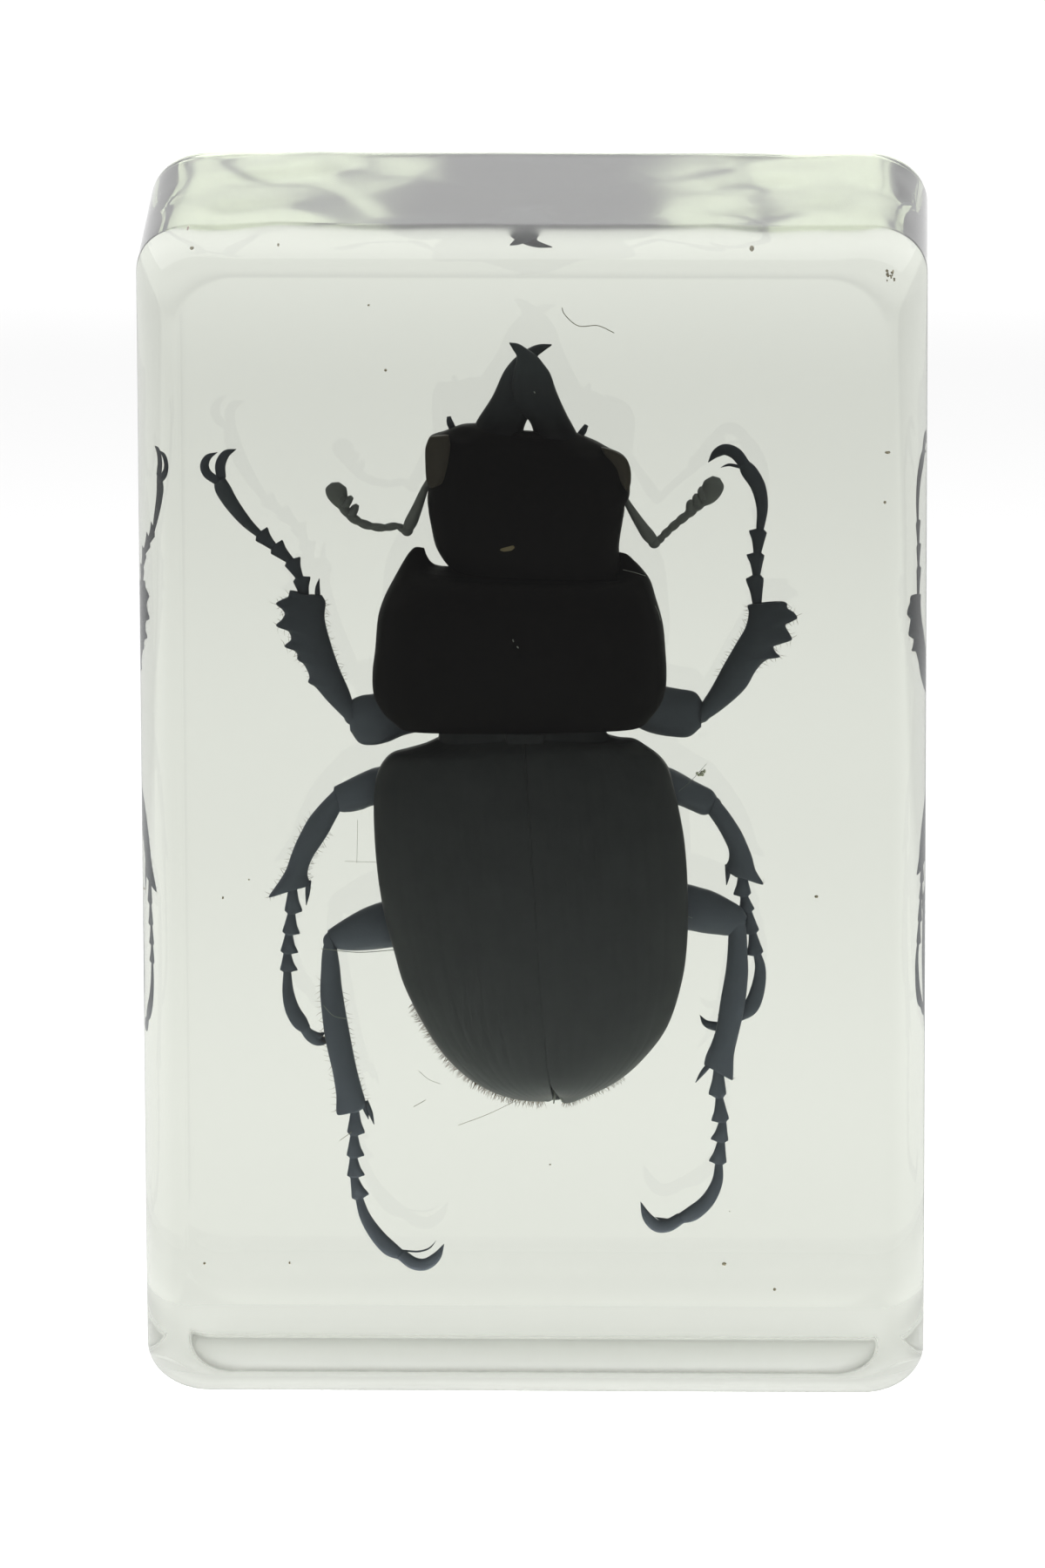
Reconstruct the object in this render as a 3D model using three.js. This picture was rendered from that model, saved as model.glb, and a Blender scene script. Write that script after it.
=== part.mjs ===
// Insect in resin block: one clear cast block standing on a short end.
// Millimetres, +Z up. The origin is the centre of the base, the broad front face looks towards -Y.
import * as THREE from 'three';

// Driving dimensions
const BLOCK_HEIGHT = 69.3;      // base to top, along Z
const BLOCK_WIDTH = 44.8;       // side to side, along X
const BLOCK_DEPTH = 21.8;       // front face to back face, along Y
const CORNER_WIDE = 3.4;        // rounding of the four corners seen from the front, along X
const CORNER_HIGH = 2.9;        // the same rounding along Z
const FRONT_EDGE_WIDE = 2.7;    // front rounding: an ellipse, this far in from the side
const FRONT_EDGE_DEEP = 5.2;    // and this far along Y
const FRONT_EDGE_TURN = 64.4;   // degrees of the ellipse before the small radius into the side
const SIDE_TURN_RADIUS = 1.5;   // that small radius
const BACK_EDGE_START = 14;     // degrees: the ground back face breaks into its bevel at this slope
const BACK_EDGE_END = 38;       // degrees: slope where the bevel meets the small rim radius
const BACK_EDGE_RADIUS = 4.28;  // slow curve of the bevel
const BACK_RIM_RADIUS = 0.65;   // rim between the bevel and the side
const CORNER_STEPS = 12;        // facets in one corner
const EDGE_STEPS = 8;           // facets in the broad part of one edge
const RIM_STEPS = 4;            // facets in the small radius that ends it

// Ring of the block at one depth: a rectangle with elliptical corners, drawn in by `inset` on every side.
function ringAt(inset, y) {
  const halfWide = BLOCK_WIDTH / 2 - inset;
  const halfHigh = BLOCK_HEIGHT / 2 - inset;
  const cornerWide = CORNER_WIDE;
  const cornerHigh = CORNER_HIGH;
  const points = [];
  for (let corner = 0; corner < 4; corner += 1) {
    const signX = corner === 0 || corner === 3 ? 1 : -1;
    const signZ = corner < 2 ? 1 : -1;
    for (let step = 0; step <= CORNER_STEPS; step += 1) {
      const turn = (Math.PI / 2) * (corner + step / CORNER_STEPS);
      const x = signX * (halfWide - cornerWide) + cornerWide * Math.cos(turn);
      const z = signZ * (halfHigh - cornerHigh) + cornerHigh * Math.sin(turn);
      points.push([x, y, z + BLOCK_HEIGHT / 2]);
    }
  }
  return points;
}

const radians = (degrees) => (degrees * Math.PI) / 180;

// Front rounding from the front face to the side, as [inset, depth] pairs: part of an ellipse, then an arc.
function frontEdge() {
  const end = radians(FRONT_EDGE_TURN);
  const slope = Math.atan2(FRONT_EDGE_DEEP * Math.sin(end), FRONT_EDGE_WIDE * Math.cos(end));
  const rim = SIDE_TURN_RADIUS * (1 - Math.sin(slope));
  const edge = [];
  for (let step = 0; step <= EDGE_STEPS; step += 1) {
    const turn = end * (step / EDGE_STEPS);
    edge.push([rim + FRONT_EDGE_WIDE * (Math.sin(end) - Math.sin(turn)), FRONT_EDGE_DEEP * (1 - Math.cos(turn))]);
  }
  const deep = FRONT_EDGE_DEEP * (1 - Math.cos(end));
  for (let step = 1; step <= RIM_STEPS; step += 1) {
    const turn = slope + (Math.PI / 2 - slope) * (step / RIM_STEPS);
    edge.push([SIDE_TURN_RADIUS * (1 - Math.sin(turn)), deep + SIDE_TURN_RADIUS * (Math.cos(slope) - Math.cos(turn))]);
  }
  return edge;
}

// Back edge from the back face to the side, as [inset, depth] pairs: a slow bevel, then a small rim.
function backEdge() {
  const start = radians(BACK_EDGE_START);
  const end = radians(BACK_EDGE_END);
  const rim = BACK_RIM_RADIUS * (1 - Math.sin(end));
  const edge = [];
  for (let step = 0; step <= EDGE_STEPS; step += 1) {
    const turn = start + (end - start) * (step / EDGE_STEPS);
    edge.push([rim + BACK_EDGE_RADIUS * (Math.sin(end) - Math.sin(turn)),
      BACK_EDGE_RADIUS * (Math.cos(start) - Math.cos(turn))]);
  }
  const deep = BACK_EDGE_RADIUS * (Math.cos(start) - Math.cos(end));
  for (let step = 1; step <= RIM_STEPS; step += 1) {
    const turn = end + (Math.PI / 2 - end) * (step / RIM_STEPS);
    edge.push([BACK_RIM_RADIUS * (1 - Math.sin(turn)), deep + BACK_RIM_RADIUS * (Math.cos(end) - Math.cos(turn))]);
  }
  return edge;
}

// Rings from the front face to the back face: front rounding, straight side, back bevel.
function blockRings() {
  const front = frontEdge().map(([inset, depth]) => ringAt(inset, -BLOCK_DEPTH / 2 + depth));
  const back = backEdge().map(([inset, depth]) => ringAt(inset, BLOCK_DEPTH / 2 - depth));
  return [...front, ...back.reverse()];
}

// Closed skin over the rings, with a flat front face and a flat back face.
function castBlock() {
  const rings = blockRings();
  const count = rings[0].length;
  const positions = rings.flat(2);
  const faces = [];
  for (let ring = 0; ring < rings.length - 1; ring += 1) {
    for (let side = 0; side < count; side += 1) {
      const a = ring * count + side;
      const b = ring * count + ((side + 1) % count);
      const c = a + count;
      const d = b + count;
      faces.push(a, d, b, a, c, d);
    }
  }
  const last = (rings.length - 1) * count;
  for (let side = 1; side < count - 1; side += 1) {
    faces.push(0, side, side + 1);
    faces.push(last, last + side + 1, last + side);
  }
  const skin = new THREE.BufferGeometry();
  skin.setAttribute('position', new THREE.Float32BufferAttribute(positions, 3));
  skin.setIndex(faces);
  skin.computeVertexNormals();
  return skin;
}

const resin = new THREE.MeshStandardMaterial({
  name: 'resin',
  color: 0xdfe3d9,
  roughness: 0.05,
  metalness: 0,
  transparent: true,
  opacity: 0.35,
});

const part = new THREE.Group();
part.name = 'insect_in_resin_block';
const block = new THREE.Mesh(castBlock(), resin);
block.name = 'resin_block';
part.add(block);

export default part;
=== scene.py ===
"""Insect in resin block: a black stag beetle sealed in a clear upright casting.

Lengths are millimetres until a mesh is written in metres. The beetle is drawn on a plan: x to the right,
z towards the jaws, and each part lies at its own depth in the block (+ is towards the back face).
"""
import math

import bmesh
import bpy
import numpy as np
from mathutils import Matrix, Vector


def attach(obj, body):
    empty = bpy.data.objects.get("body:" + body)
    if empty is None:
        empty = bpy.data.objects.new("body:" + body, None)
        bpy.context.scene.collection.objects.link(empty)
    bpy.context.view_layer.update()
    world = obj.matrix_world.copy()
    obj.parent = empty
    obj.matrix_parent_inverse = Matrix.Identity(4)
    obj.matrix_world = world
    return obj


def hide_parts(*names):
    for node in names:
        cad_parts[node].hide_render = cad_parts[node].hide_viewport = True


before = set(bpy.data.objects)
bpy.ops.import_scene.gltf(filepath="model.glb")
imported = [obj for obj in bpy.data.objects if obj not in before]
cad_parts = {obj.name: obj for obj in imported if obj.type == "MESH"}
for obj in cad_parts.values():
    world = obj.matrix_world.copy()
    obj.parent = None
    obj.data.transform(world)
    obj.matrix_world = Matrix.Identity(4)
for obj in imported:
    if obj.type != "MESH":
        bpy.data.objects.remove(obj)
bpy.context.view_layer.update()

MM = 0.001
rng = np.random.default_rng(11)

# ---------------------------------------------------------------- sizes of the casting
BLOCK_HEIGHT = 69.3
BLOCK_WIDTH = 44.8
BLOCK_DEPTH = 21.8
CORNER_WIDE = 3.4
CORNER_HIGH = 2.9
FRONT_EDGE_WIDE = 2.7       # the front edge is rounded on an ellipse, deeper than it is wide
FRONT_EDGE_DEEP = 5.2
FRONT_EDGE_TURN = 64.4      # degrees of that ellipse, after which a small radius turns into the side
SIDE_TURN_RADIUS = 1.5
BACK_EDGE_START = 14.0      # degrees: the ground back face breaks into a slow bevel at this slope
BACK_EDGE_END = 38.0
BACK_EDGE_RADIUS = 4.28
BACK_RIM_RADIUS = 0.65
FOOT_ROUGHNESS = 0.85       # the foot is sanded dull, fading out at this height in mm
FOOT_DULL_TO = 2.6
TOP_ROUGHNESS = 0.18        # the top is left as it set, dull between these two heights and above
TOP_DULL_FROM = 68.7
TOP_DULL_TO = 69.0
TOP_SINK = 0.1              # the top lies this much lower in its middle than at its rounded edges

# ---------------------------------------------------------------- where the beetle's plan lies in the block
PLAN_CENTRE_X = -0.74
PLAN_CENTRE_Z = 35.10
PLAN_CENTRE_Y = 0.7
PLAN_STRETCH_Z = 1.038      # the plan is taken at a slant, so the beetle is this much longer than it
PLAN_TURN = 0.0033          # sideways lean of the plan per millimetre of height
SIGHT_DROP = 0.176          # a part lies this much lower for each millimetre that it is deeper
SIGHT_SHIFT = 0.016         # and this much further left


def place(plan, depth, rise):
    """Plan points (..., 2), their depth and their height over that depth become block points in mm.

    x = plan x - shift * depth, z = stretched plan z - drop * depth, y = depth - rise.
    """
    depth = np.broadcast_to(depth, plan.shape[:-1])
    z = PLAN_CENTRE_Z + PLAN_STRETCH_Z * plan[..., 1] - SIGHT_DROP * depth
    x = PLAN_CENTRE_X + plan[..., 0] - SIGHT_SHIFT * depth + PLAN_TURN * (z - BLOCK_HEIGHT / 2)
    return np.stack([x, PLAN_CENTRE_Y + depth - rise, z], axis=-1)


# ---------------------------------------------------------------- curves and skins
def flow(points, stations, even=False):
    """Smooth curve through the points at stations 0..1: cubic Hermite pieces, with knots spaced evenly or by
    the square root of the distance between points, and slopes weighted by the neighbouring knots."""
    p = np.asarray(points, float)
    if p.ndim == 1:
        p = p[:, None]
        even = True
    if even:
        knots = np.arange(len(p), dtype=float)
    else:
        gap = np.sqrt(np.maximum(np.linalg.norm(np.diff(p, axis=0), axis=1), 1e-6))
        knots = np.concatenate([[0.0], np.cumsum(gap)])
    width = np.diff(knots)[:, None]
    slope = np.diff(p, axis=0) / width
    inner = (slope[:-1] * width[1:] + slope[1:] * width[:-1]) / (width[:-1] + width[1:])
    tangent = np.concatenate([slope[:1], inner, slope[-1:]])
    u = np.clip(stations, 0, 1) * knots[-1]
    k = np.clip(np.searchsorted(knots, u, side="right") - 1, 0, len(p) - 2)
    h = (u - knots[k])[:, None] / width[k]
    a = (1 + 2 * h) * (1 - h) ** 2 * p[k] + h * (1 - h) ** 2 * width[k] * tangent[k]
    b = h ** 2 * (3 - 2 * h) * p[k + 1] + h ** 2 * (h - 1) * width[k] * tangent[k + 1]
    return a + b


def ease(values, stations):
    """One number eased through evenly spaced values; a plain number stays the same."""
    if np.isscalar(values):
        return np.full(len(stations), float(values))
    return flow(np.asarray(values, float), stations)[:, 0]


def bent_power(wave, power):
    """Sign-keeping power of a sine or cosine: below 1 makes a section boxier, above 1 sharper."""
    return np.sign(wave) * np.abs(wave) ** power


def ring_skin(rings):
    """Closed skin over rings (n, m, 3) as points, quads and triangles: quads between neighbouring rings. Each
    end is closed by a strip of quads that joins point j of the ring to point m - j, with a triangle at the
    first and the last point."""
    n, m, _ = rings.shape
    i, j = np.meshgrid(np.arange(n - 1), np.arange(m), indexing="ij")
    k = (j + 1) % m
    wall = np.stack([i * m + j, i * m + k, (i + 1) * m + k, (i + 1) * m + j], axis=-1).reshape(-1, 4)
    j = np.arange(1, (m + 1) // 2 - 1)
    strip = np.stack([m - j, m - j - 1, j + 1, j], axis=-1)
    tips = np.array([[m - 1, 1, 0]] + [[m // 2 + 1, m // 2, m // 2 - 1]] * (m % 2 == 0))
    last = (n - 1) * m
    quads = np.concatenate([wall, strip, last + strip[:, ::-1]])
    triangles = np.concatenate([tips, last + tips[:, ::-1]])
    return rings.reshape(-1, 3), quads, triangles


def blade(left, right, rise, sink, lie, steps=60, around=28, section=0.9, bow=0.0, bow_power=2.0,
          even=False, carve=None):
    """Skin between two plan edges: each station is a closed bent-ellipse section from the left edge to
    the right one, `rise` high in front of its depth `lie` and `sink` behind it. `bow` pushes the middle of
    each cross line along the beetle by bow * (1 - |s| ** bow_power), with s from -1 to 1 across, and
    carve(t, s, h) adds to the height, with h above 0 in front and below 0 behind."""
    t = np.linspace(0, 1, steps)
    a = np.linspace(0, 2 * np.pi, around, endpoint=False)
    s = bent_power(np.cos(a), section)
    h = bent_power(np.sin(a), section)
    near = flow(left, t, even)
    far = flow(right, t, even)
    plan = (near + far)[:, None, :] / 2 + (far - near)[:, None, :] / 2 * s[None, :, None]
    plan[..., 1] += ease(bow, t)[:, None] * (1 - np.abs(s) ** bow_power)[None, :]
    up = ease(rise, t)[:, None] * np.maximum(h, 0) + ease(sink, t)[:, None] * np.minimum(h, 0)
    if carve is not None:
        up = up + carve(t[:, None], s[None, :], h[None, :])
    return ring_skin(place(plan, ease(lie, t)[:, None], up))


def rod(path, radii, flat=1.0, steps=36, around=12):
    """Round skin carried along a smooth path of (x, z, depth) points, with a radius eased through radii
    and pressed by `flat` along the depth: centre + r * (side * cos a + flat * up * sin a)."""
    t = np.linspace(0, 1, steps)
    line = flow(path, t)
    centre = place(line[:, :2], line[:, 2], 0.0)
    along = np.gradient(centre, axis=0)
    along /= np.linalg.norm(along, axis=1)[:, None] + 1e-9
    side = np.cross(along, [0.0, 1.0, 0.0])
    side /= np.linalg.norm(side, axis=1)[:, None] + 1e-9
    up = np.cross(side, along)
    a = np.linspace(0, 2 * np.pi, around, endpoint=False)
    r = ease(radii, t)[:, None, None]
    ring = side[:, None, :] * np.cos(a)[None, :, None] + up[:, None, :] * (flat * np.sin(a))[None, :, None]
    return ring_skin(centre[:, None, :] + r * ring)


def egg(centre, size, steps=18, around=24):
    """Closed egg at plan (x, z, depth) with half sizes (x, z, depth): the angles run pole to pole along z."""
    polar = np.linspace(0.02, np.pi - 0.02, steps)[:, None]
    a = np.linspace(0, 2 * np.pi, around, endpoint=False)[None, :]
    x = centre[0] + size[0] * np.sin(polar) * np.cos(a)
    z = centre[1] + size[1] * np.cos(polar) * np.ones_like(a)
    up = -size[2] * np.sin(polar) * np.sin(a)
    return ring_skin(place(np.stack([x, z], axis=-1), centre[2], up))


def hairs(roots, tips, thickness, bend, steps=5):
    """Many fine hairs in one skin: each is a three-sided cone from root to tip, bowed sideways by
    bend * sin(pi t) and thinning as (1 - t) ** 0.7."""
    roots = np.asarray(roots, float)
    tips = np.asarray(tips, float)
    n = len(roots)
    t = np.linspace(0, 1, steps)[None, :, None]
    along = tips - roots
    length = np.linalg.norm(along, axis=1)[:, None] + 1e-9
    side = np.cross(along / length, [0.0, 1.0, 0.0])
    side /= np.linalg.norm(side, axis=1)[:, None] + 1e-9
    up = np.cross(side, along / length)
    bow = np.sin(np.pi * t) * (np.asarray(bend).reshape(-1, 1, 1) * length[:, None, :])
    centre = roots[:, None, :] + along[:, None, :] * t + bow * side[:, None, :]
    a = np.linspace(0, 2 * np.pi, 3, endpoint=False)
    ring = side[:, None, None, :] * np.cos(a)[:, None] + up[:, None, None, :] * np.sin(a)[:, None]
    r = np.asarray(thickness).reshape(-1, 1, 1, 1) * ((1 - t) ** 0.7 + 0.12)[..., None]
    points = (centre[:, :, None, :] + r * ring).reshape(-1, 3)
    i, j = np.meshgrid(np.arange(steps - 1), np.arange(3), indexing="ij")
    k = (j + 1) % 3
    wall = np.stack([i * 3 + j, i * 3 + k, (i + 1) * 3 + k, (i + 1) * 3 + j], axis=-1).reshape(-1, 4)
    first = np.arange(n)[:, None, None] * steps * 3
    quads = (first + wall).reshape(-1, 4)
    root_caps = (first[:, :, 0] + np.array([2, 1, 0])).reshape(-1, 3)
    tip_caps = (first[:, :, 0] + (steps - 1) * 3 + np.array([0, 1, 2])).reshape(-1, 3)
    return points, quads, np.concatenate([root_caps, tip_caps])


def piece(name, skins, material, body="root"):
    """One mesh object from closed skins, in metres, with its doubles merged and its faces outwards."""
    points, faces, base = [], [], 0
    for skin_points, quads, triangles in skins:
        points.append(skin_points)
        faces += (base + quads).tolist() + (base + triangles).tolist()
        base += len(skin_points)
    mesh = bpy.data.meshes.new(name)
    mesh.from_pydata((np.concatenate(points) * MM).tolist(), [], faces)
    worker = bmesh.new()
    worker.from_mesh(mesh)
    bmesh.ops.remove_doubles(worker, verts=worker.verts, dist=1e-7)
    bmesh.ops.recalc_face_normals(worker, faces=worker.faces)
    worker.to_mesh(mesh)
    worker.free()
    mesh.polygons.foreach_set("use_smooth", np.ones(len(mesh.polygons), bool))
    mesh.materials.append(material)
    made = bpy.data.objects.new(name, mesh)
    bpy.context.scene.collection.objects.link(made)
    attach(made, body)
    return made


# ---------------------------------------------------------------- materials
CHITIN_IOR = 1.12           # chitin against the resin around it, which bends light almost as much
RESIN_IOR = 1.55


def linear(hex_colour):
    """sRGB hex to linear red, green, blue and alpha 1."""
    parts = [int(hex_colour[i:i + 2], 16) / 255 for i in (1, 3, 5)]
    return tuple(c / 12.92 if c <= 0.04045 else ((c + 0.055) / 1.055) ** 2.4 for c in parts) + (1.0,)


def node(tree, kind, settings=(), links=()):
    """Adds a node: each setting is a socket's value or the node's own property, each link feeds a socket."""
    added = tree.nodes.new(kind)
    for name, value in dict(settings).items():
        if name in added.inputs:
            added.inputs[name].default_value = value
        else:
            setattr(added, name, value)
    for name, source in dict(links).items():
        tree.links.new(source, added.inputs[name])
    return added


def blank_material(name):
    """A material with an empty node tree, and that tree."""
    made = bpy.data.materials.new(name)
    made.use_nodes = True
    made.node_tree.nodes.clear()
    return made, made.node_tree


def black_chitin(name, dark, pale, roughness, pit_mm, pit_depth, no_glare_height=46.0, full_glare_height=14.0):
    """Beetle cuticle: hard black chitin, finely pitted, hardly shining because the resin around it bends
    light almost as much as it does. Pits are one per pit_mm and pit_depth mm deep. Its colour goes from
    the dark one at one height in mm to the paler, greyer one at the other. That change is painted glare, a
    haze of light laid on by height, not the cuticle's own colour. Faint cloudy patches 3 mm across vary the
    tone."""
    made, tree = blank_material(name)
    spot = node(tree, "ShaderNodeTexCoord")
    axes = node(tree, "ShaderNodeSeparateXYZ", {}, {"Vector": spot.outputs["Object"]})
    # painted glare: the colour turns paler and greyer with height, standing in for a haze of light
    painted_glare = node(tree, "ShaderNodeMapRange", {
        "From Min": no_glare_height * MM, "From Max": full_glare_height * MM, "To Min": 0.0, "To Max": 0.9},
        {"Value": axes.outputs["Z"]})
    cloud = node(tree, "ShaderNodeTexNoise", {"Scale": 1 / (3.0 * MM), "Detail": 4.0, "Roughness": 0.6},
                 {"Vector": spot.outputs["Object"]})
    patch = node(tree, "ShaderNodeMapRange", {"To Min": -0.12, "To Max": 0.12},
                 {"Value": cloud.outputs["Fac"]})
    amount = node(tree, "ShaderNodeMath", {"operation": "ADD", "use_clamp": True}, {
        0: painted_glare.outputs["Result"], 1: patch.outputs["Result"]})
    shade = node(tree, "ShaderNodeMix", {"data_type": "RGBA"}, {0: amount.outputs["Value"]})
    shade.inputs[6].default_value = linear(dark)
    shade.inputs[7].default_value = linear(pale)
    pits = node(tree, "ShaderNodeTexVoronoi", {"feature": "F1", "Scale": 1 / (pit_mm * MM)},
                {"Vector": spot.outputs["Object"]})
    pit = node(tree, "ShaderNodeMapRange", {"From Min": 0.0, "From Max": 0.35, "To Min": 0.0, "To Max": 1.0},
               {"Value": pits.outputs["Distance"]})
    bump = node(tree, "ShaderNodeBump", {"Strength": 1.0, "Distance": pit_depth * MM},
                {"Height": pit.outputs["Result"]})
    shader = node(tree, "ShaderNodeBsdfPrincipled", {"Roughness": roughness, "IOR": CHITIN_IOR},
                  {"Base Color": shade.outputs[2], "Normal": bump.outputs["Normal"]})
    node(tree, "ShaderNodeOutputMaterial", {}, {"Surface": shader.outputs["BSDF"]})
    return made


def clear_resin(name):
    """Cast clear resin, polished: fully see-through, with a faint grey-green tint that deepens with
    thickness. The face it stands on is dulled by fine sanding, and the top, left as it set, looks soft."""
    made, tree = blank_material(name)
    spot = node(tree, "ShaderNodeTexCoord")
    axes = node(tree, "ShaderNodeSeparateXYZ", {}, {"Vector": spot.outputs["Object"]})
    sanded = node(tree, "ShaderNodeMapRange", {
        "From Min": 0.05 * MM, "From Max": FOOT_DULL_TO * MM, "To Min": FOOT_ROUGHNESS, "To Max": 0.0},
        {"Value": axes.outputs["Z"]})
    as_cast = node(tree, "ShaderNodeMapRange", {
        "From Min": TOP_DULL_FROM * MM, "From Max": TOP_DULL_TO * MM, "To Min": 0.0,
        "To Max": TOP_ROUGHNESS}, {"Value": axes.outputs["Z"]})
    dullness = node(tree, "ShaderNodeMath", {"operation": "ADD"}, {
        0: sanded.outputs["Result"], 1: as_cast.outputs["Result"]})
    shader = node(tree, "ShaderNodeBsdfPrincipled", {
        "Base Color": linear("#ffffff"), "IOR": RESIN_IOR, "Transmission Weight": 1.0},
        {"Roughness": dullness.outputs["Value"]})
    depth = node(tree, "ShaderNodeVolumeAbsorption", {"Color": linear("#bac1ab"), "Density": 31.5})
    node(tree, "ShaderNodeOutputMaterial", {}, {
        "Surface": shader.outputs["BSDF"], "Volume": depth.outputs["Volume"]})
    return made


def plain(name, colour, roughness):
    """A small sealed-in thing, such as a fibre or dust, with a slightly mottled colour."""
    made, tree = blank_material(name)
    spot = node(tree, "ShaderNodeTexCoord")
    mottle = node(tree, "ShaderNodeTexNoise", {"Scale": 1 / (0.4 * MM), "Detail": 3.0},
                  {"Vector": spot.outputs["Object"]})
    bright = node(tree, "ShaderNodeMapRange", {"To Min": 0.75, "To Max": 1.25},
                  {"Value": mottle.outputs["Fac"]})
    shade = node(tree, "ShaderNodeHueSaturation", {"Color": linear(colour)},
                 {"Value": bright.outputs["Result"]})
    shader = node(tree, "ShaderNodeBsdfPrincipled", {"Roughness": roughness},
                  {"Base Color": shade.outputs["Color"]})
    node(tree, "ShaderNodeOutputMaterial", {}, {"Surface": shader.outputs["BSDF"]})
    return made


# Each chitin below turns from its dark colour to its paler one between the two heights that end its line, or
# 46 and 14 mm: that paler colour is painted glare.
shell_chitin = black_chitin("black chitin of head and thorax", "#060505", "#0c0b0c", 0.5, 0.22, 0.001)
wing_chitin = black_chitin("black chitin of wing cases", "#242628", "#4f5254", 0.4, 0.16, 0.005, 40.0, 13.0)
leg_chitin = black_chitin("slate black chitin of legs", "#43474f", "#616773", 0.38, 0.3, 0.006, 46.0, 34.0)
jaw_chitin = black_chitin("slate black chitin of jaws", "#141517", "#3f4347", 0.38, 0.25, 0.004, 56.0, 59.5)
feeler_chitin = black_chitin("slate brown chitin of feelers", "#626564", "#6a6b66", 0.5, 0.12, 0.006)
# Brown painted as backlight showing through thin cuticle, not the chitin's own colour.
painted_backlit_chitin = black_chitin("thin chitin painted brown as if lit from behind", "#3a3630", "#46423a", 0.45, 0.2, 0.006)
belly_chitin = black_chitin("black chitin of the underside", "#212325", "#313437", 0.4, 0.3, 0.005)
# Yellowish colour of a sliver painted as light shining through the gap between head and thorax.
painted_neck_gap_light = plain("yellowish sliver painted as light through the neck gap", "#625738", 0.5)
eye_chitin = black_chitin("glossy black eye", "#1c1a19", "#26211d", 0.2, 0.06, 0.01)
hair_keratin = plain("golden brown bristle", "#6b5330", 0.55)
# Pale hair colour, also used for the painted glints among the shed hairs.
pale_hair_and_glint = plain("pale dry hair and painted glint", "#868984", 0.6)
dull_fibre = plain("thin grey fibre", "#8d8a78", 0.6)
dust_grit = plain("brown dust", "#a8a089", 0.8)
milky_fleck = plain("milky resin fleck", "#c3c6b4", 0.4)
pink_stain = plain("faint pink stain", "#c9a2a2", 0.5)
resin = clear_resin("clear cast resin")


# ---------------------------------------------------------------- the casting
def top_waves(x, y):
    """Height of the uneven top face in mm: crossing sine waves 5 to 15 mm long, calmer in the middle."""
    waves = (0.06 * np.sin(0.55 * x + 1.1 * np.sin(0.4 * y + 0.6) + 0.4)
             + 0.05 * np.sin(0.85 * y - 0.3 * x + 1.3) * np.sin(0.33 * x + 0.5)
             + 0.02 * np.sin(1.25 * x + 0.6 * y + 2.1))
    return waves * (0.12 + 0.88 * np.clip((np.abs(x) - 5.0) / 6.0, 0, 1) ** 2)


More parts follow.
